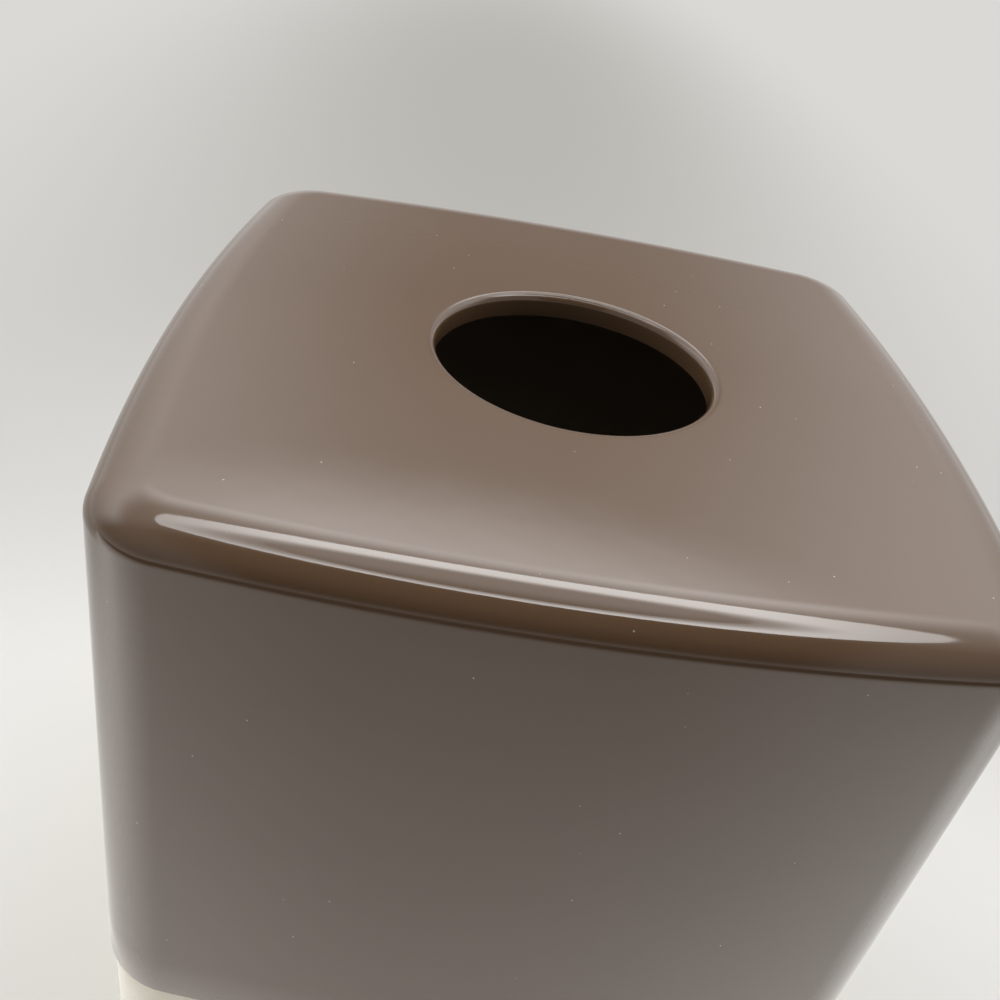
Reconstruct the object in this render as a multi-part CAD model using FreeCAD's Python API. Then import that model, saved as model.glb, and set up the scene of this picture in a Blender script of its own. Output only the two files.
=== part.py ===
"""Square tissue box cover: a shell with a round hole that lifts off a shallow tray on four feet.

Millimetres, +Z up. The origin is on the floor, under the middle of the tray. The front faces -Y.
"""

import FreeCAD, Part

import math
import os

# Plan of the whole cover, measured at the seam between shell and tray
overall_width = 133.0
side_bow_radius = 415.0
corner_radius = 13.5

# Cover shell
cover_height = 94.0
cover_draft = 0.8
cover_wall = 3.2
cover_top_thickness = 4.5
cover_inner_round = 2.8

# Roll from the top into the sides, a quarter of an ellipse lofted in a few steps
roll_across = 8.0
roll_down = 4.6
roll_steps = 6

# Dispensing hole in the top
hole_diameter = 46.6
hole_rim_round = 1.5
hole_inner_round = 0.6

# Lap joint, where the tongue of the tray stands inside the lip of the shell
tongue_height = 6.0
tongue_thickness = 1.2
lap_clearance = 0.3

# Base tray
base_height = 49.0
base_reveal = 0.7
base_draft = 0.5
base_floor = 3.0
base_edge_round = 4.0
base_inner_round = 2.0

# Feet
foot_diameter = 12.0
foot_thickness = 2.6
foot_edge_round = 0.5
foot_inset = 20.0
foot_recess_depth = 0.6
foot_recess_clearance = 0.2

# How far a cutting solid runs past the face that it opens
overrun = 1.0

# How far from a level an edge may lie and still count as lying on it
level_tolerance = 0.001

# Levels, from the floor up
tray_level = foot_thickness - foot_recess_depth
floor_level = tray_level + base_floor
seam_level = tray_level + base_height
tongue_level = seam_level + tongue_height
top_level = seam_level + cover_height
ceiling_level = top_level - cover_top_thickness
roll_level = top_level - roll_down

# What is left of the shell wall outside the lap
lip_thickness = cover_wall - tongue_thickness - lap_clearance


def plan_outline(inset, level):
    """Closed outline of four bowed sides and four round corners, drawn in by inset, at one level."""
    half_width = overall_width / 2 - inset
    bow_radius = side_bow_radius - inset
    round_radius = corner_radius - inset
    bow_centre = half_width - bow_radius
    reach = bow_radius - round_radius
    round_centre = (bow_centre + math.sqrt(2 * reach ** 2 - bow_centre ** 2)) / 2
    round_middle = round_centre + round_radius / math.sqrt(2)
    tangent_x = round_centre + round_radius * (round_centre - bow_centre) / reach
    tangent_y = round_centre + round_radius * round_centre / reach

    side = [(tangent_x, -tangent_y), (half_width, 0), (tangent_x, tangent_y)]
    corner = [(tangent_x, tangent_y), (round_middle, round_middle), (tangent_y, tangent_x)]
    edges = []
    for quarter in range(4):
        turn = FreeCAD.Rotation(FreeCAD.Vector(0, 0, 1), 90 * quarter)
        for stretch in (side, corner):
            points = [turn.multVec(FreeCAD.Vector(x, y, level)) for x, y in stretch]
            edges.append(Part.Arc(*points).toShape())
    return Part.Wire(edges)


def block(*sections, smooth=False):
    """Solid through sections, each an (inset, level) pair, from the lowest up."""
    outlines = [plan_outline(inset, level) for inset, level in sections]
    return Part.makeLoft(outlines, True, not smooth)


def disc(diameter, bottom, top, x=0, y=0):
    """Upright cylinder between two levels."""
    return Part.makeCylinder(diameter / 2, top - bottom, FreeCAD.Vector(x, y, bottom))


def edges_at(shape, level):
    """Edges of a shape that lie flat at one level."""
    return [
        edge
        for edge in shape.Edges
        if abs(edge.BoundBox.ZMin - level) < level_tolerance
        and abs(edge.BoundBox.ZMax - level) < level_tolerance
    ]


def make_cover_outside():
    """Drafted walls under a flat top, with the roll between them."""
    walls = block((0, seam_level), (cover_draft, roll_level))
    sections = []
    for step in range(roll_steps + 1):
        angle = math.radians(90 * step / roll_steps)
        inset = cover_draft + roll_across * (1 - math.cos(angle))
        sections.append((inset, roll_level + roll_down * math.sin(angle)))
    return walls.fuse(block(*sections, smooth=True))


def make_cover_shell():
    """Shell with one even wall, the dispensing hole with its soft rim, and a rebate for the tongue."""
    hollow = block((cover_wall, seam_level), (cover_wall + cover_draft, ceiling_level))
    hollow = hollow.makeFillet(cover_inner_round, edges_at(hollow, ceiling_level))
    rebate = block((lip_thickness, seam_level - overrun), (lip_thickness, tongue_level + lap_clearance))
    hole = disc(hole_diameter, ceiling_level - overrun, top_level + overrun)
    shell = make_cover_outside().cut(hollow).cut(rebate).cut(hole)
    for level, radius in ((top_level, hole_rim_round), (ceiling_level, hole_inner_round)):
        rim = [edge for edge in edges_at(shell, level) if edge.isClosed()]
        shell = shell.makeFillet(radius, rim)
    return shell


def foot_places():
    """Name and place of each foot, set in alike from the middle of the two nearest sides."""
    offset = overall_width / 2 - foot_inset
    return {
        "foot_front_left": (-offset, -offset),
        "foot_front_right": (offset, -offset),
        "foot_rear_left": (-offset, offset),
        "foot_rear_right": (offset, offset),
    }


def make_base_tray():
    """Tray with drafted walls, flush inside with the shell, and a tongue that stands inside its lip."""
    outside = block((base_reveal + base_draft, tray_level), (base_reveal, seam_level))
    outside = outside.makeFillet(base_edge_round, edges_at(outside, tray_level))
    tongue_inset = lip_thickness + lap_clearance
    tongue = block((tongue_inset, floor_level), (tongue_inset, tongue_level))
    hollow = block(
        (cover_wall + base_draft, floor_level),
        (cover_wall, seam_level),
        (cover_wall, tongue_level + overrun),
    )
    hollow = hollow.makeFillet(base_inner_round, edges_at(hollow, floor_level))
    tray = outside.fuse(tongue).cut(hollow)
    recess_diameter = foot_diameter + 2 * foot_recess_clearance
    for x, y in foot_places().values():
        tray = tray.cut(disc(recess_diameter, tray_level - overrun, tray_level + foot_recess_depth, x, y))
    return tray


def make_foot(x, y):
    """Rubber disc with a softened lower edge."""
    foot = disc(foot_diameter, 0, foot_thickness, x, y)
    return foot.makeFillet(foot_edge_round, edges_at(foot, 0))


def main():
    """Make every piece and write it to its own file."""
    pieces = {"cover_shell": make_cover_shell(), "base_tray": make_base_tray()}
    for name, (x, y) in foot_places().items():
        pieces[name] = make_foot(x, y)
    os.makedirs("parts", exist_ok=True)
    for name, shape in pieces.items():
        shape.exportStep(f"parts/{name}.step")
        print(name, "solids", len(shape.Solids), "valid", shape.isValid(), "volume", round(shape.Volume, 1))


main()
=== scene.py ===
"""Looks of the square tissue box cover: glossy brown shell, cream tray and rubber feet, in a pale studio."""

import logging
import math
from dataclasses import dataclass, field
from enum import Enum
from typing import Any, Callable, Union

import bmesh
import bpy
from mathutils import Matrix, Vector


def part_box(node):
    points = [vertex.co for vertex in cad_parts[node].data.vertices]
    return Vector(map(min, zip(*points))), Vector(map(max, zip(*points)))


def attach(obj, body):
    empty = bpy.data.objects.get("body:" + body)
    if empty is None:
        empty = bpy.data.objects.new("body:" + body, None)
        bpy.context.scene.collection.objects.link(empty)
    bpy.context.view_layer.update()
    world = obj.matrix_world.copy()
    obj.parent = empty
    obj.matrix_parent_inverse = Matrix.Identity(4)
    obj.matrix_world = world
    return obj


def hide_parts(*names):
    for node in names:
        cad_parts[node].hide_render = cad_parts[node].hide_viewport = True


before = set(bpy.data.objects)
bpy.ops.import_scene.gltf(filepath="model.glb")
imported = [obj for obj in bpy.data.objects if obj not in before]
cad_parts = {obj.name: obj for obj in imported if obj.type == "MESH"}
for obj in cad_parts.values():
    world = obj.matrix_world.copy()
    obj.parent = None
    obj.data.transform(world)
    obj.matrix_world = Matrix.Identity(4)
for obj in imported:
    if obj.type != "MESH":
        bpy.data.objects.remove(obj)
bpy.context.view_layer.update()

log = logging.getLogger("tissue_box_cover")

MM = 0.001
BACKDROP_COLOUR = (0.70, 0.69, 0.665)
BLACK = (0.0, 0.0, 0.0)
WHITE = (1.0, 1.0, 1.0)

# Largest angle, in degrees, that is shaded as one surface
SMOOTH_ANGLE = 40.0

Colour = tuple[float, float, float]
Span = tuple[float, float]


class Body(Enum):
    """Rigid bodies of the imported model."""

    TRAY = "tray"
    COVER = "cover"


class Slot(Enum):
    """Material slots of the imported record."""

    SHELL = "shell_plastic"
    TRAY = "tray_plastic"
    FOOT = "foot_rubber"


class Signal:
    """One output of a shader node. Arithmetic on it adds Math nodes to the same graph."""

    def __init__(self, graph: "Graph", socket: bpy.types.NodeSocket) -> None:
        """Keep the graph and the socket."""
        self.graph = graph
        self.socket = socket

    def __add__(self, other: "Value") -> "Signal":
        """Sum."""
        return self.graph.math("ADD", self, other)

    def __radd__(self, other: "Value") -> "Signal":
        """Sum with a number on the left."""
        return self.graph.math("ADD", other, self)

    def __sub__(self, other: "Value") -> "Signal":
        """Difference."""
        return self.graph.math("SUBTRACT", self, other)

    def __rsub__(self, other: "Value") -> "Signal":
        """Difference from a number on the left."""
        return self.graph.math("SUBTRACT", other, self)

    def __mul__(self, other: "Value") -> "Signal":
        """Product."""
        return self.graph.math("MULTIPLY", self, other)


Value = Union[Signal, float]
Shade = Union[Signal, Colour]


def opaque(shade: Shade) -> Any:
    """Colour with full alpha. A signal stays as it is."""
    return shade if isinstance(shade, Signal) else (*shade, 1.0)


class Graph:
    """Node tree of one material or world, with short ways to add nodes and links."""

    def __init__(self, tree: bpy.types.NodeTree) -> None:
        """Empty the tree.

        Args:
            tree: Node tree to fill.
        """
        self.tree = tree
        tree.nodes.clear()

    def node(self, kind: str, settings: dict[str, Any], inputs: dict[str, Any], output: str) -> Signal:
        """Add one node.

        Args:
            kind: Node type, without its ShaderNode prefix.
            settings: Node properties, set before the sockets.
            inputs: Values or signals, by the socket's identifier or name.
            output: Identifier or name of the wanted output, or an empty string for a node with none.

        Returns:
            The wanted output.
        """
        node = self.tree.nodes.new("ShaderNode" + kind)
        for name, value in settings.items():
            setattr(node, name, value)
        for name, value in inputs.items():
            socket = self._find(node.inputs, name)
            if isinstance(value, Signal):
                self.tree.links.new(value.socket, socket)
            else:
                socket.default_value = value
        return Signal(self, self._find(node.outputs, output) if output else None)

    def math(self, operation: str, first: Value, second: Value) -> Signal:
        """Combine two values with one Math node."""
        return self.node("Math", {"operation": operation}, {"Value": first, "Value_001": second}, "Value")

    def mix_colour(self, factor: Value, first: Shade, second: Shade) -> Signal:
        """Blend two colours."""
        inputs = {"Factor_Float": factor, "A_Color": opaque(first), "B_Color": opaque(second)}
        return self.node("Mix", {"data_type": "RGBA"}, inputs, "Result_Color")

    def ramp(
        self, value: Value, low: float, high: float, at_low: float = 0.0, at_high: float = 1.0
    ) -> Signal:
        """Ease a value from one range into another.

        Args:
            value: What is mapped.
            low: Value that gives at_low.
            high: Value that gives at_high.
            at_low: Result at and below low.
            at_high: Result at and above high.

        Returns:
            The eased value.
        """
        settings = {"interpolation_type": "SMOOTHSTEP"}
        ranges = {"Value": value, "From Min": low, "From Max": high, "To Min": at_low, "To Max": at_high}
        return self.node("MapRange", settings, ranges, "Result")

    def axis(self, vector: Signal, name: str) -> Signal:
        """One coordinate of a vector."""
        return self.node("SeparateXYZ", {}, {"Vector": vector}, name)

    @staticmethod
    def _find(sockets: Any, name: str) -> bpy.types.NodeSocket:
        """Find a socket by identifier, or else by name.

        Args:
            sockets: Inputs or outputs of a node.
            name: Identifier or name.

        Returns:
            The socket.
        """
        for socket in sockets:
            if socket.identifier == name:
                return socket
        return sockets[name]


def new_material(name: str) -> tuple[bpy.types.Material, Graph]:
    """Make an empty node material.

    Args:
        name: Material name.

    Returns:
        The material and its graph.
    """
    material = bpy.data.materials.new(name)
    material.use_nodes = True
    return material, Graph(material.node_tree)


@dataclass(frozen=True)
class MouldedPlastic:
    """Moulded plastic with a polished or satin skin, a faint orange peel and a little dust.

    Lengths are in metres. Levels of dust and haze are shares.
    """

    name: str
    colour: Colour
    deep_colour: Colour
    roughness: float
    haze: float
    index: float
    peel_width: float
    peel_height: float
    dust_spacing: float
    dust_radius: float
    dust_colour: Colour = (0.62, 0.60, 0.56)
    dust_level: float = 0.8
    dust_core_share: float = 0.5
    dust_roughness: float = 0.5
    cloud_width: float = 0.03
    cloud_detail: float = 2.0
    haze_width: float = 0.012
    haze_detail: float = 4.0
    haze_span: Span = (0.35, 0.75)
    peel_detail: float = 1.0

    def material(self) -> bpy.types.Material:
        """Build the node material.

        Returns:
            The finished material.
        """
        material, graph = new_material(self.name)
        place = graph.node("TexCoord", {}, {}, "Object")
        cloud = self._noise(graph, place, self.cloud_width, self.cloud_detail)
        patches = self._noise(graph, place, self.haze_width, self.haze_detail)
        haze = graph.ramp(patches, *self.haze_span) * self.haze
        peel = self._noise(graph, place, self.peel_width, self.peel_detail)
        dust = self._dust(graph, place)
        tint = graph.mix_colour(cloud, self.deep_colour, self.colour)
        colour = graph.mix_colour(dust, tint, self.dust_colour)
        roughness = self.roughness + haze + dust * self.dust_roughness
        normal = graph.node("Bump", {}, {"Height": peel, "Distance": self.peel_height}, "Normal")
        inputs = {"Base Color": colour, "Roughness": roughness, "Normal": normal, "IOR": self.index}
        surface = graph.node("BsdfPrincipled", {}, inputs, "BSDF")
        graph.node("OutputMaterial", {}, {"Surface": surface}, "")
        return material

    @staticmethod
    def _noise(graph: Graph, place: Signal, width: float, detail: float) -> Signal:
        """Soft noise whose patches are about one width across."""
        return graph.node("TexNoise", {}, {"Vector": place, "Scale": 1.0 / width, "Detail": detail}, "Fac")

    def _dust(self, graph: Graph, place: Signal) -> Signal:
        """Sparse specks, where a scattered point happens to lie in the surface.

        Args:
            graph: Graph of the material.
            place: Place on the piece.

        Returns:
            The level of the dust.
        """
        cells = {"Vector": place, "Scale": 1.0 / self.dust_spacing}
        distance = graph.node("TexVoronoi", {}, cells, "Distance")
        radius = self.dust_radius / self.dust_spacing
        return graph.ramp(distance, radius * self.dust_core_share, radius, self.dust_level, 0.0)


@dataclass(frozen=True)
class FootRubber:
    """Matt rubber with a fine grain."""

    name: str = "foot_rubber"
    colour: Colour = (0.030, 0.026, 0.023)
    worn_colour: Colour = (0.055, 0.050, 0.046)
    grain_width: float = 0.0006
    grain_height: float = 0.00004
    grain_detail: float = 3.0
    grain_span: Span = (0.2, 0.8)
    roughness_span: Span = (0.55, 0.8)

    def material(self) -> bpy.types.Material:
        """Build the node material.

        Returns:
            The finished material.
        """
        material, graph = new_material(self.name)
        place = graph.node("TexCoord", {}, {}, "Object")
        pattern = {"Vector": place, "Scale": 1.0 / self.grain_width, "Detail": self.grain_detail}
        grain = graph.node("TexNoise", {}, pattern, "Fac")
        colour = graph.mix_colour(grain, self.colour, self.worn_colour)
        normal = graph.node("Bump", {}, {"Height": grain, "Distance": self.grain_height}, "Normal")
        roughness = graph.ramp(grain, *self.grain_span, *self.roughness_span)
        inputs = {"Base Color": colour, "Roughness": roughness, "Normal": normal}
        surface = graph.node("BsdfPrincipled", {}, inputs, "BSDF")
        graph.node("OutputMaterial", {}, {"Surface": surface}, "")
        return material


SHELL_GLOSS = MouldedPlastic(
    name="shell_gloss",
    colour=(0.128, 0.075, 0.042),
    deep_colour=(0.115, 0.067, 0.037),
    roughness=0.04,
    haze=0.04,
    index=1.7,
    peel_width=0.006,
    peel_height=0.000010,
    dust_spacing=0.0046,
    dust_radius=0.00016,
    dust_level=0.6,
)
SHELL_INSIDE = MouldedPlastic(
    name="shell_inside",
    colour=(0.110, 0.064, 0.037),
    deep_colour=(0.098, 0.056, 0.032),
    roughness=0.32,
    haze=0.10,
    index=1.6,
    peel_width=0.0012,
    peel_height=0.000020,
    dust_spacing=0.0060,
    dust_radius=0.00016,
)
TRAY_GLOSS = MouldedPlastic(
    name="tray_gloss",
    colour=(0.830, 0.785, 0.645),
    deep_colour=(0.805, 0.755, 0.610),
    roughness=0.12,
    haze=0.08,
    index=1.6,
    peel_width=0.006,
    peel_height=0.000010,
    dust_spacing=0.0060,
    dust_radius=0.00014,
    dust_colour=(0.30, 0.27, 0.22),
    dust_level=0.5,
)


@dataclass(frozen=True)
class Plan:
    """Rounded square with bowed sides, drawn by the direction in which its outline faces."""

    half_width: float
    bow_radius: float = 415.0 * MM
    corner_radius: float = 13.5 * MM
    side_steps: int = 25
    corner_steps: int = 20

    @property
    def bow_centre(self) -> float:
        """Place on the axis of a side of the centre of its bow."""
        return self.half_width - self.bow_radius

    @property
    def corner_centre(self) -> float:
        """Distance from each middle plane of the centre of a corner."""
        reach = self.bow_radius - self.corner_radius
        return (self.bow_centre + math.sqrt(2 * reach**2 - self.bow_centre**2)) / 2

    @property
    def steps(self) -> int:
        """Number of points in one ring."""
        return 4 * (self.side_steps + self.corner_steps)

    def ring(self, inset: float) -> list[Vector]:
        """Points of the outline drawn in by one distance.

        Args:
            inset: Distance inside the widest outline.

        Returns:
            Points in the plane, anticlockwise, from the start of the right side.
        """
        half_side = math.asin(self.corner_centre / (self.bow_radius - self.corner_radius))
        corner_sweep = math.pi / 2 - 2 * half_side
        side = [2 * half_side * step / self.side_steps - half_side for step in range(self.side_steps)]
        corner = [half_side + corner_sweep * step / self.corner_steps for step in range(self.corner_steps)]
        quarter = [self._on_arc(self.bow_centre, 0.0, self.bow_radius - inset, facing) for facing in side]
        middle = self.corner_centre
        quarter += [self._on_arc(middle, middle, self.corner_radius - inset, facing) for facing in corner]
        turns = [Matrix.Rotation(math.pi / 2 * turn, 2) for turn in range(4)]
        return [turn @ point for turn in turns for point in quarter]

    def circle(self, radius: float) -> list[Vector]:
        """Even points of a circle, matched one to one with a ring.

        Args:
            radius: Radius of the circle.

        Returns:
            Points in the plane, in the order of a ring.
        """
        first = -self.side_steps / 2
        return [
            self._on_arc(0.0, 0.0, radius, math.tau * (first + step) / self.steps)
            for step in range(self.steps)
        ]

    @staticmethod
    def _on_arc(x: float, y: float, radius: float, angle: float) -> Vector:
        """Point of an arc around a centre."""
        return Vector((x + radius * math.cos(angle), y + radius * math.sin(angle)))


@dataclass(frozen=True)
class Station:
    """One ring of a skin: an outline at a level, drawn in by inset, or part of the way to a circle."""

    level: float
    inset: float
    circle_radius: float = 0.0
    circle_share: float = 0.0


def quarter_round(
    start: tuple[float, float], end: tuple[float, float], steps: int, leave_upright: bool
) -> list[tuple[float, float]]:
    """Points of a quarter of an ellipse between two points, both included.

    Args:
        start: First (across, level) point.
        end: Last (across, level) point.
        steps: Number of steps.
        leave_upright: True if the curve leaves its start along the level direction.

    Returns:
        The points, as (across, level) pairs.
    """
    points = []
    for step in range(steps + 1):
        angle = math.pi / 2 * step / steps
        early, late = math.sin(angle), 1.0 - math.cos(angle)
        across_share, level_share = (late, early) if leave_upright else (early, late)
        across = start[0] + (end[0] - start[0]) * across_share
        points.append((across, start[1] + (end[1] - start[1]) * level_share))
    return points


class Skin:
    """A mesh that grows ring by ring: the newest ring is extruded and settled on the next station.

    Points are counted by bearing, from a small share of one step before the first point.
    """

    MARGIN_SHARE = 1 / 16

    def __init__(self, name: str, plan: Plan, first: Station) -> None:
        """Add the first ring.

        Args:
            name: Name of the piece.
            plan: Outline that the rings follow.
            first: Station of the first ring.
        """
        self.plan = plan
        self.first_bearing = 0.0
        bpy.ops.object.select_all(action="DESELECT")
        bpy.ops.mesh.primitive_circle_add(vertices=plan.steps, radius=plan.half_width)
        self.piece = bpy.context.object
        self.piece.name = name
        self.piece.data.name = name
        bpy.ops.object.mode_set(mode="EDIT")
        self._settle(first)

    def grow(self, stations: list[Station]) -> None:
        """Extrude the newest ring through each station in turn.

        Args:
            stations: Stations in order.
        """
        for station in stations:
            bpy.ops.mesh.extrude_region_move()
            self._settle(station)

    def bridge_ends(self) -> None:
        """Join the last ring to the first."""
        bpy.ops.mesh.select_all(action="DESELECT")
        bpy.ops.mesh.select_non_manifold()
        bpy.ops.mesh.bridge_edge_loops()

    def cap_ends(self) -> None:
        """Close each open ring with a flat face."""
        bpy.ops.mesh.select_all(action="DESELECT")
        bpy.ops.mesh.select_non_manifold()
        bpy.ops.mesh.edge_face_add()

    def finish(self) -> bpy.types.Object:
        """Turn the faces outward and shade them smooth.

        Returns:
            The finished piece.
        """
        bpy.ops.mesh.select_all(action="SELECT")
        bpy.ops.mesh.normals_make_consistent(inside=False)
        bpy.ops.object.mode_set(mode="OBJECT")
        bpy.ops.object.shade_smooth_by_angle(angle=math.radians(SMOOTH_ANGLE))
        return self.piece

    def _settle(self, station: Station) -> None:
        """Move the selected ring onto a station.

        Args:
            station: Where the ring goes.
        """
        bm = bmesh.from_edit_mesh(self.piece.data)
        ring = [vertex for vertex in bm.verts if vertex.select]
        ring.sort(key=lambda vertex: self._bearing(vertex.co, self.first_bearing))
        outline = self.plan.ring(station.inset)
        if station.circle_share:
            circle = self.plan.circle(station.circle_radius)
            outline = [out.lerp(inn, station.circle_share) for out, inn in zip(outline, circle)]
        for vertex, point in zip(ring, outline):
            vertex.co = (point.x, point.y, station.level)
        self.first_bearing = self._bearing(ring[0].co, 0.0) - self.MARGIN_SHARE * math.tau / self.plan.steps
        bmesh.update_edit_mesh(self.piece.data)

    @staticmethod
    def _bearing(point: Vector, first: float) -> float:
        """Angle of a point around the upright axis, counted from a first angle."""
        return (math.atan2(point.y, point.x) - first) % math.tau


def dress_faces(piece: bpy.types.Object, index: int, chosen: Callable[[bpy.types.MeshPolygon], bool]) -> int:
    """Give one material to the faces that a test picks.

    Args:
        piece: Piece whose faces are dressed.
        index: Place of the material in the piece's list.
        chosen: Test that a face has to pass.

    Returns:
        Number of faces dressed.
    """
    picked = [face for face in piece.data.polygons if chosen(face)]
    for face in picked:
        face.material_index = index
    return len(picked)


@dataclass
class CoverShell:
    """Brown shell with bowed sides, a rolled top edge and a round hole."""

    plan: Plan
    seam_level: float
    top_level: float
    draft: float = 0.8 * MM
    wall: float = 3.2 * MM
    top_thickness: float = 4.5 * MM
    inner_round: float = 2.8 * MM
    roll_across: float = 8.0 * MM
    roll_down: float = 4.6 * MM
    hole_radius: float = 23.3 * MM
    rim_round: float = 1.5 * MM
    rim_inner_round: float = 0.6 * MM
    lip_thickness: float = 1.7 * MM
    rebate_height: float = 6.3 * MM
    edge_softness: float = 0.2 * MM
    support: float = 0.4 * MM
    lip_steps: int = 3
    wall_steps: int = 10
    roll_steps: int = 20
    top_steps: int = 8
    rim_steps: int = 14
    rim_inner_steps: int = 4
    inner_steps: int = 8
    downward_limit: float = -0.5
    inward_limit: float = -0.3
    node: str = "cover_shell"
    piece: bpy.types.Object = field(init=False)

    def build(self) -> bpy.types.Object:
        """Model the shell as one closed skin, from the lip up the outside and back down the inside.

        Returns:
            The shell.
        """
        stations = self._outside() + self._top() + self._ceiling() + self._inside()
        skin = Skin("shell", self.plan, stations[0])
        skin.grow(stations[1:])
        skin.bridge_ends()
        self.piece = skin.finish()
        return self.piece

    def dress(self) -> None:
        """Give the shell its finishes, and put it in place of its solid."""
        self.piece.data.materials.append(SHELL_GLOSS.material())
        self.piece.data.materials.append(SHELL_INSIDE.material())
        count = dress_faces(self.piece, 1, self._is_inside)
        log.info("%s has %d inner faces", self.piece.name, count)
        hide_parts(self.node)
        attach(self.piece, Body.COVER.value)

    def _is_inside(self, face: bpy.types.MeshPolygon) -> bool:
        """Tell the ceiling and the inner wall from the rest.

        Args:
            face: Face of the shell.

        Returns:
            True for a face of the ceiling or of the inner wall.
        """
        in_hole = face.center.xy.length < self.hole_radius + self.rim_inner_round
        above_lip = face.center.z > self.seam_level + self.edge_softness
        faces_down = face.normal.z < self.downward_limit and above_lip
        faces_in = face.normal.xy.dot(face.center.xy.normalized()) < self.inward_limit
        return not in_hole and (faces_down or faces_in)

    def _draft_at(self, level: float) -> float:
        """Inset of the outside at a level below the roll."""
        roll_level = self.top_level - self.roll_down
        return self.draft * (level - self.seam_level) / (roll_level - self.seam_level)

    def _outside(self) -> list[Station]:
        """Lip edge, wall and roll.

        Returns:
            Stations from the lip up.
        """
        roll_level = self.top_level - self.roll_down
        soft_level = self.seam_level + self.edge_softness
        lip = quarter_round(
            (self.edge_softness, self.seam_level), (0.0, soft_level), self.lip_steps, leave_upright=False
        )
        walls = []
        for step in range(1, self.wall_steps):
            level = soft_level + (roll_level - soft_level) * step / self.wall_steps
            walls.append((self._draft_at(level), level))
        roll_end = (self.draft + self.roll_across, self.top_level)
        roll = quarter_round((self.draft, roll_level), roll_end, self.roll_steps, leave_upright=True)
        return [Station(level, inset) for inset, level in lip + walls + roll]

    def _top(self) -> list[Station]:
        """Flat top from the roll to the hole, and the rim of the hole.

        Returns:
            Stations from the roll inward.
        """
        edge = self.draft + self.roll_across
        rim_radius = self.hole_radius + self.rim_round
        flat = [Station(self.top_level, edge + self.support)]
        for step in range(1, self.top_steps):
            flat.append(Station(self.top_level, edge, rim_radius + self.support, step / self.top_steps))
        flat.append(Station(self.top_level, edge, rim_radius + self.support, 1.0))
        rim_end = (self.hole_radius, self.top_level - self.rim_round)
        rim = quarter_round((rim_radius, self.top_level), rim_end, self.rim_steps, leave_upright=False)
        return flat + [Station(level, edge, radius, 1.0) for radius, level in rim]

    def _ceiling(self) -> list[Station]:
        """Wall and inner edge of the hole, and the ceiling out to the walls.

        Returns:
            Stations from the hole outward.
        """
        ceiling = self.top_level - self.top_thickness
        inset = self.wall + self.draft + self.inner_round + self.support
        inner_radius = self.hole_radius + self.rim_inner_round
        edge_start = (self.hole_radius, ceiling + self.rim_inner_round)
        edge = quarter_round(edge_start, (inner_radius, ceiling), self.rim_inner_steps, leave_upright=True)
        stations = [Station(level, inset, radius, 1.0) for radius, level in edge]
        for step in range(self.top_steps + 1):
            share = 1.0 - step / self.top_steps
            stations.append(Station(ceiling, inset, inner_radius + self.support, share))
        return stations

    def _inside(self) -> list[Station]:
        """Inner round, inner wall, rebate and the inner edge of the lip.

        Returns:
            Stations from the ceiling down.
        """
        ceiling = self.top_level - self.top_thickness
        inset = self.wall + self.draft
        rebate_level = self.seam_level + self.rebate_height
        top = ceiling - self.inner_round
        corner = quarter_round(
            (inset + self.inner_round, ceiling), (inset, top), self.inner_steps, leave_upright=False
        )
        walls = []
        for step in range(1, self.wall_steps + 1):
            level = top + (rebate_level - top) * step / self.wall_steps
            walls.append((self.wall + self._draft_at(level), level))
        rebate = [(self.lip_thickness, rebate_level), (self.lip_thickness, self.seam_level)]
        return [Station(level, across) for across, level in corner + walls + rebate]


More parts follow.
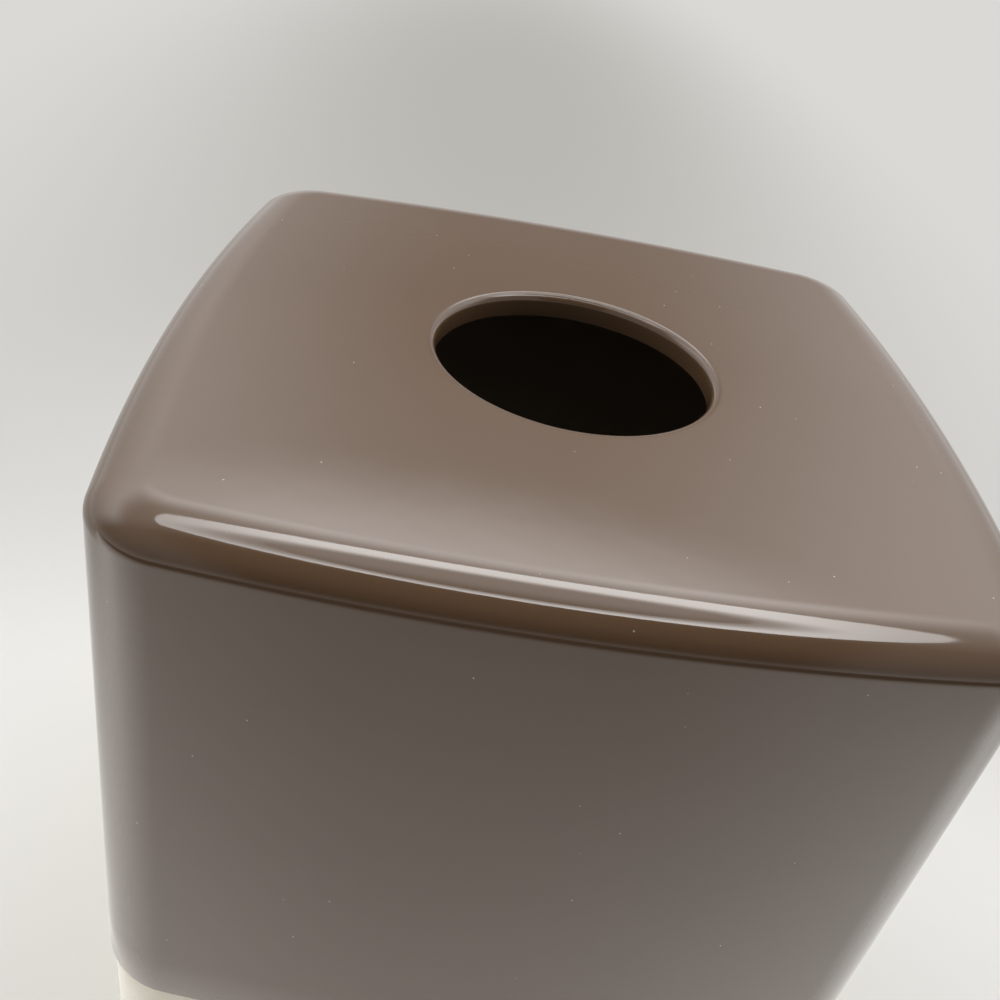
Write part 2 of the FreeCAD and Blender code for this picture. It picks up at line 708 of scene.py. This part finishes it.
@dataclass
class BaseTray:
    """Cream tray with a tongue that locates the shell."""

    plan: Plan
    bottom_level: float
    tongue_level: float
    tongue_height: float = 6.0 * MM
    reveal: float = 0.7 * MM
    draft: float = 0.5 * MM
    floor: float = 3.0 * MM
    edge_round: float = 4.0 * MM
    inner_round: float = 2.0 * MM
    tongue_inset: float = 2.0 * MM
    inner_inset: float = 3.2 * MM
    edge_softness: float = 0.2 * MM
    support: float = 0.4 * MM
    recess_radius: float = 6.2 * MM
    recess_depth: float = 0.6 * MM
    edge_steps: int = 10
    soft_steps: int = 3
    wall_steps: int = 6
    inner_steps: int = 8
    recess_steps: int = 64
    node: str = "base_tray"
    piece: bpy.types.Object = field(init=False)

    @property
    def seam_level(self) -> float:
        """Level of the shoulder that the shell stands on."""
        return self.tongue_level - self.tongue_height

    def build(self, foot_centres: list[Vector]) -> bpy.types.Object:
        """Model the tray as one closed skin with four foot recesses.

        Args:
            foot_centres: Middle of each foot.

        Returns:
            The tray.
        """
        stations = self._outside() + self._inside()
        skin = Skin("tray", self.plan, stations[0])
        skin.grow(stations[1:])
        skin.cap_ends()
        self.piece = skin.finish()
        for centre in foot_centres:
            self._sink_recess(centre)
        return self.piece

    def dress(self) -> None:
        """Give the tray its finish, and put it in place of its solid."""
        self.piece.data.materials.append(TRAY_GLOSS.material())
        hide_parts(self.node)
        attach(self.piece, Body.TRAY.value)

    def _outside(self) -> list[Station]:
        """Underside edge, wall, shoulder and tongue.

        Returns:
            Stations from the underside up.
        """
        foot_inset = self.reveal + self.draft
        round_level = self.bottom_level + self.edge_round
        under = [(foot_inset + self.edge_round + self.support, self.bottom_level)]
        edge_start = (foot_inset + self.edge_round, self.bottom_level)
        edge = quarter_round(edge_start, (foot_inset, round_level), self.edge_steps, leave_upright=False)
        soft_level = self.seam_level - self.edge_softness
        walls = []
        for step in range(1, self.wall_steps):
            share = step / self.wall_steps
            inset = self.reveal + self.draft * (1 - share)
            walls.append((inset, round_level + (soft_level - round_level) * share))
        shoulder_end = (self.reveal + self.edge_softness, self.seam_level)
        shoulder = quarter_round((self.reveal, soft_level), shoulder_end, self.soft_steps, leave_upright=True)
        tongue_start = (self.tongue_inset, self.tongue_level - self.edge_softness)
        tongue_end = (self.tongue_inset + self.edge_softness, self.tongue_level)
        tongue = [(self.tongue_inset, self.seam_level)]
        tongue += quarter_round(tongue_start, tongue_end, self.soft_steps, leave_upright=True)
        return [Station(level, inset) for inset, level in under + edge + walls + shoulder + tongue]

    def _inside(self) -> list[Station]:
        """Inner side of the tongue, inner wall and the round into the floor.

        Returns:
            Stations from the tongue down.
        """
        floor_level = self.bottom_level + self.floor
        floor_inset = self.inner_inset + self.draft
        tongue_start = (self.inner_inset - self.edge_softness, self.tongue_level)
        tongue_end = (self.inner_inset, self.tongue_level - self.edge_softness)
        tongue = quarter_round(tongue_start, tongue_end, self.soft_steps, leave_upright=False)
        walls = [(self.inner_inset, self.seam_level)]
        low = floor_level + self.inner_round
        for step in range(1, self.wall_steps):
            share = step / self.wall_steps
            inset = self.inner_inset + self.draft * share
            walls.append((inset, self.seam_level + (low - self.seam_level) * share))
        corner_end = (floor_inset + self.inner_round, floor_level)
        corner = quarter_round((floor_inset, low), corner_end, self.inner_steps, leave_upright=True)
        flat = [(floor_inset + self.inner_round + self.support, floor_level)]
        return [Station(level, inset) for inset, level in tongue + walls + corner + flat]

    def _sink_recess(self, centre: Vector) -> None:
        """Cut one shallow round recess into the underside.

        Args:
            centre: Middle of the foot that sits in it.
        """
        bpy.ops.object.select_all(action="DESELECT")
        bpy.ops.mesh.primitive_cylinder_add(
            vertices=self.recess_steps,
            radius=self.recess_radius,
            depth=2 * self.recess_depth,
            location=(centre.x, centre.y, self.bottom_level),
        )
        cutter = bpy.context.object
        cut = self.piece.modifiers.new("recess", "BOOLEAN")
        cut.operation = "DIFFERENCE"
        cut.solver = "EXACT"
        cut.object = cutter
        bpy.context.view_layer.objects.active = self.piece
        bpy.ops.object.modifier_apply(modifier=cut.name)
        bpy.data.objects.remove(cutter)


@dataclass
class Feet:
    """Four rubber feet, whose solids already have their shape."""

    nodes: tuple[str, ...] = ("foot_front_left", "foot_front_right", "foot_rear_left", "foot_rear_right")

    def centres(self) -> list[Vector]:
        """Middle of each foot."""
        return [(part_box(node)[0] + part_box(node)[1]) / 2 for node in self.nodes]

    def dress(self) -> None:
        """Give every foot the same rubber."""
        rubber = FootRubber().material()
        for node in self.nodes:
            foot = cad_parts[node]
            foot.data.materials.clear()
            foot.data.materials.append(rubber)
            log.info("dressed %s", node)


@dataclass(frozen=True)
class FillLamp:
    """Weak soft lamp above the left, which lights the floor and shows in no reflection."""

    place: tuple[float, float, float] = (-0.45, -0.12, 0.5)
    width: float = 0.3
    radiance: float = 2.4

    def build(self) -> None:
        """Add the lamp, which shines straight down."""
        bpy.ops.object.light_add(type="AREA", location=self.place)
        lamp = bpy.context.object
        lamp.name = "fill_lamp"
        lamp.data.shape = "SQUARE"
        lamp.data.size = self.width
        lamp.data.energy = self.radiance * math.pi * self.width**2
        lamp.visible_camera = False
        lamp.visible_glossy = False


@dataclass(frozen=True)
class RingLamp:
    """Oval ring lamp above the cover, brightest along its outer edge.

    The sizes are half widths and half depths. The soft span is counted in half widths of the hole.
    """

    height: float = 0.42
    centre: tuple[float, float] = (0.034, 0.034)
    half_size: tuple[float, float] = (0.194, 0.116)
    hole_centre: tuple[float, float] = (0.016, 0.010)
    hole_half_size: tuple[float, float] = (0.110, 0.0605)
    radiance: float = 6.5
    inner_share: float = 0.3
    soft_span: Span = (1.0, 1.5)
    end_share: float = 0.62
    end_span: Span = (0.09, 0.19)
    steps: int = 96

    def build(self) -> None:
        """Model the ring and dress it with its light."""
        (wide, deep), (hole_wide, hole_deep) = self.half_size, self.hole_half_size
        middle = Vector((*self.centre, self.height))
        hole_middle = Vector((*self.hole_centre, self.height))
        bpy.ops.object.select_all(action="DESELECT")
        bpy.ops.mesh.primitive_circle_add(vertices=self.steps, radius=1.0)
        ring = bpy.context.object
        ring.name = "ring_lamp"
        bpy.ops.object.mode_set(mode="EDIT")
        bpy.ops.transform.resize(value=(wide, deep, 1.0), center_override=(0.0, 0.0, 0.0))
        bpy.ops.transform.translate(value=middle)
        bpy.ops.mesh.extrude_region_move()
        bpy.ops.transform.resize(value=(hole_wide / wide, hole_deep / deep, 1.0), center_override=middle)
        bpy.ops.transform.translate(value=hole_middle - middle)
        bpy.ops.object.mode_set(mode="OBJECT")
        ring.data.materials.append(self._light())
        ring.visible_camera = False
        ring.visible_shadow = False

    def _light(self) -> bpy.types.Material:
        """Light that fades towards the hole and the two ends of the ring.

        Returns:
            The material.
        """
        (hole_x, hole_y), (hole_wide, hole_deep) = self.hole_centre, self.hole_half_size
        material, graph = new_material("ring_light")
        place = graph.node("TexCoord", {}, {}, "Object")
        inputs = {
            "Vector": place,
            "Location": (-hole_x / hole_wide, -hole_y / hole_deep, 0.0),
            "Scale": (1.0 / hole_wide, 1.0 / hole_deep, 0.0),
        }
        offset = graph.node("Mapping", {}, inputs, "Vector")
        reach = graph.node("VectorMath", {"operation": "LENGTH"}, {"Vector": offset}, "Value")
        across = graph.math("ABSOLUTE", graph.axis(place, "X") - self.centre[0], 0.0)
        level = graph.ramp(reach, *self.soft_span, self.inner_share, 1.0)
        level = level * graph.ramp(across, *self.end_span, 1.0, self.end_share)
        colour = graph.mix_colour(level, BLACK, WHITE)
        light = graph.node("Emission", {}, {"Color": colour, "Strength": self.radiance}, "Emission")
        graph.node("OutputMaterial", {}, {"Surface": light}, "")
        return material


@dataclass(frozen=True)
class PaleFloor:
    """Pale floor that glows softly in front of the cover and fades into a plain background.

    Lengths are in metres. A span gives the two places between which something comes on or goes off.
    """

    size: float = 8.0
    colour: Colour = (0.92, 0.91, 0.885)
    # Painted shade: the floor turns near black in front of the cover, in place of the unlit space there
    front_shade_colour: Colour = (0.06, 0.06, 0.06)
    front_shade_span: Span = (-0.50, -0.16)
    roughness: float = 0.6
    specular_level: float = 0.2
    near_glow: float = 0.52
    near_span: Span = (-0.20, -0.08)
    side_glow: float = 0.30
    side_span: Span = (0.04, 0.20)
    behind_span: Span = (-0.09, 0.03)
    # Painted shade: span over which the floor colour darkens behind the cover, where more light falls
    rear_shade_span: Span = (0.0, 0.14)
    shade_colour: Colour = (0.49, 0.48, 0.45)
    shade_depth: float = 0.75
    shade_stretch: float = 0.3
    shade_span: Span = (0.04, 0.38)
    fade_span: Span = (0.12, 0.40)

    def build(self) -> None:
        """Lay the floor, which keeps the shadow of the cover close by and is plain further off."""
        bpy.ops.object.select_all(action="DESELECT")
        bpy.ops.mesh.primitive_plane_add(size=self.size)
        floor = bpy.context.object
        floor.name = "floor"
        material, graph = new_material("floor_pale")
        place = graph.node("TexCoord", {}, {}, "Object")
        distance = graph.node("VectorMath", {"operation": "LENGTH"}, {"Vector": place}, "Value")
        seen = graph.node("LightPath", {}, {}, "Is Camera Ray")
        mirrored = graph.node("LightPath", {}, {}, "Is Glossy Ray")
        behind = graph.ramp(graph.axis(place, "Y"), *self.behind_span)
        fade = graph.ramp(distance, *self.fade_span) * (seen + mirrored * behind)
        near, far = self._near(graph, place, seen, behind), self._far(graph, place)
        surface = graph.node("MixShader", {}, {"Fac": fade, "Shader": near, "Shader_001": far}, "Shader")
        graph.node("OutputMaterial", {}, {"Surface": surface}, "")
        floor.data.materials.append(material)

    def _near(self, graph: Graph, place: Signal, seen: Signal, behind: Signal) -> Signal:
        """Pale surface, painted dark past a line in front as painted shade, with a glow in front that only
        the cover sees.

        Args:
            graph: Graph of the floor.
            place: Place on the floor.
            seen: One where the camera looks straight at the floor.
            behind: One behind the front of the cover.

        Returns:
            The shader.
        """
        depth, across = graph.axis(place, "Y"), graph.math("ABSOLUTE", graph.axis(place, "X"), 0.0)
        # Share of the floor left pale; in front of this the colour is painted shade
        pale = graph.ramp(depth, *self.front_shade_span)
        near_level = graph.ramp(depth, *self.near_span) * self.near_glow
        side_level = graph.ramp(across, *self.side_span) * self.side_glow
        level = (near_level + side_level) * (1.0 - behind) * pale * (1.0 - seen)
        # Painted shade: behind the cover the floor colour turns to the darker backdrop colour, to offset the
        # stronger light there
        rear = graph.ramp(depth, *self.rear_shade_span)
        tone = graph.mix_colour(rear, self.colour, BACKDROP_COLOUR)
        inputs = {
            "Base Color": graph.mix_colour(pale, self.front_shade_colour, tone),
            "Roughness": self.roughness,
            "Specular IOR Level": self.specular_level,
            "Emission Color": graph.mix_colour(level, BLACK, self.colour),
            "Emission Strength": 1.0,
        }
        return graph.node("BsdfPrincipled", {}, inputs, "BSDF")

    def _far(self, graph: Graph, place: Signal) -> Signal:
        """Plain background with a soft shade behind the cover.

        Args:
            graph: Graph of the floor.
            place: Place on the floor.

        Returns:
            The shader.
        """
        shift, stretch = -self.shade_depth * self.shade_stretch, self.shade_stretch
        inputs = {"Vector": place, "Location": (0.0, shift, 0.0), "Scale": (1.0, stretch, 1.0)}
        offset = graph.node("Mapping", {}, inputs, "Vector")
        spread = graph.node("VectorMath", {"operation": "LENGTH"}, {"Vector": offset}, "Value")
        clear = graph.ramp(spread, *self.shade_span)
        colour = graph.mix_colour(clear, self.shade_colour, BACKDROP_COLOUR)
        return graph.node("Emission", {}, {"Color": colour}, "Emission")


@dataclass(frozen=True)
class Surroundings:
    """Soft light from behind and from both sides, a dim front, and a plain background for the camera.

    A span gives the two values of one part of a direction between which a light comes on or goes off.
    """

    front_level: float = 0.025
    front_side_level: float = 0.25
    front_side_span: Span = (0.36, 0.48)
    low_level: float = 0.32
    low_span: Span = (0.02, 0.35)
    behind_span: Span = (-0.1, 0.3)
    rear_level: float = 0.32
    side_level: float = 0.90
    side_middle: float = 0.08
    side_span: Span = (0.05, 0.45)
    side_rise: Span = (0.10, 0.48)
    side_foot: float = 0.3
    upper_span: Span = (0.60, 0.80)
    upper_share: float = 0.2
    haze_level: float = 0.40
    haze_span: Span = (0.40, 0.58)
    glow_level: float = 2.4
    glow_rise: Span = (0.54, 0.64)
    glow_fall: Span = (0.64, 0.84)
    glow_rest: float = 0.38
    glow_width: Span = (0.15, 0.48)
    glow_side: float = 0.1

    def build(self) -> None:
        """Make the world."""
        world = bpy.data.worlds.new("surroundings")
        bpy.context.scene.world = world
        world.use_nodes = True
        graph = Graph(world.node_tree)
        seen = graph.node("LightPath", {}, {}, "Is Camera Ray")
        colour = graph.mix_colour(seen, self._level(graph), BACKDROP_COLOUR)
        light = graph.node("Background", {}, {"Color": colour, "Strength": 1.0}, "Background")
        graph.node("OutputWorld", {}, {"Surface": light}, "")

    def _level(self, graph: Graph) -> Signal:
        """Light level by direction.

        Args:
            graph: Graph of the world.

        Returns:
            The level.
        """
        direction = graph.node("TexCoord", {}, {}, "Generated")
        right, height = graph.axis(direction, "X"), graph.axis(direction, "Z")
        aside = graph.math("ABSOLUTE", right - self.side_middle, 0.0)
        behind = graph.ramp(graph.axis(direction, "Y"), *self.behind_span)
        low = graph.ramp(height, *self.low_span, 1.0, 0.0) * self.low_level
        sides = graph.ramp(aside, *self.side_span) * graph.ramp(height, *self.side_rise, self.side_foot)
        haze = graph.ramp(height, *self.haze_span) * self.haze_level
        glow = graph.ramp(height, *self.glow_rise) * graph.ramp(height, *self.glow_fall, 1.0, self.glow_rest)
        glow = glow * graph.ramp(aside, *self.glow_width, 1.0, self.glow_side) * self.glow_level
        wide = (sides * self.side_level + haze) * graph.ramp(height, *self.upper_span, 1.0, self.upper_share)
        front_sides = graph.ramp(aside, *self.front_side_span) * self.front_side_level * (1.0 - behind)
        return self.front_level + front_sides + low + behind * (self.rear_level + wide + glow)


@dataclass(frozen=True)
class Viewpoint:
    """Camera where the photograph was taken from."""

    eye: tuple[float, float, float] = (-0.02212, -0.15380, 0.22051)
    look: tuple[float, float, float] = (0.07814, 0.81965, -0.56752)
    right: tuple[float, float, float] = (0.98555, 0.02231, 0.16792)
    lens: float = 37.03
    nearest: float = 0.01

    def build(self) -> None:
        """Set the camera."""
        look = Vector(self.look).normalized()
        right = Vector(self.right)
        right = (right - look * right.dot(look)).normalized()
        up = right.cross(look)
        turn = Matrix((right, up, -look)).transposed()
        data = bpy.data.cameras.new("camera")
        data.lens = self.lens
        data.clip_start = self.nearest
        camera = bpy.data.objects.new("camera", data)
        camera.matrix_world = Matrix.Translation(self.eye) @ turn.to_4x4()
        bpy.context.scene.collection.objects.link(camera)
        bpy.context.scene.camera = camera


def main() -> None:
    """Build and dress every piece, then the studio."""
    logging.basicConfig(level=logging.INFO, format="%(name)s: %(message)s")
    shell_low, shell_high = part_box("cover_shell")
    tray_low, tray_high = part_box("base_tray")
    plan = Plan(half_width=shell_high.x)

    shell = CoverShell(plan, shell_low.z, shell_high.z)
    log.info("%s has %d faces", shell.build().name, len(shell.piece.data.polygons))
    shell.dress()

    feet = Feet()
    feet.dress()

    tray = BaseTray(plan, tray_low.z, tray_high.z)
    log.info("%s has %d faces", tray.build(feet.centres()).name, len(tray.piece.data.polygons))
    tray.dress()

    for item in (PaleFloor(), RingLamp(), FillLamp(), Surroundings(), Viewpoint()):
        item.build()
        log.info("added %s", type(item).__name__)
    bpy.context.scene.view_settings.view_transform = "Standard"


if __name__ == "__main__":
    main()
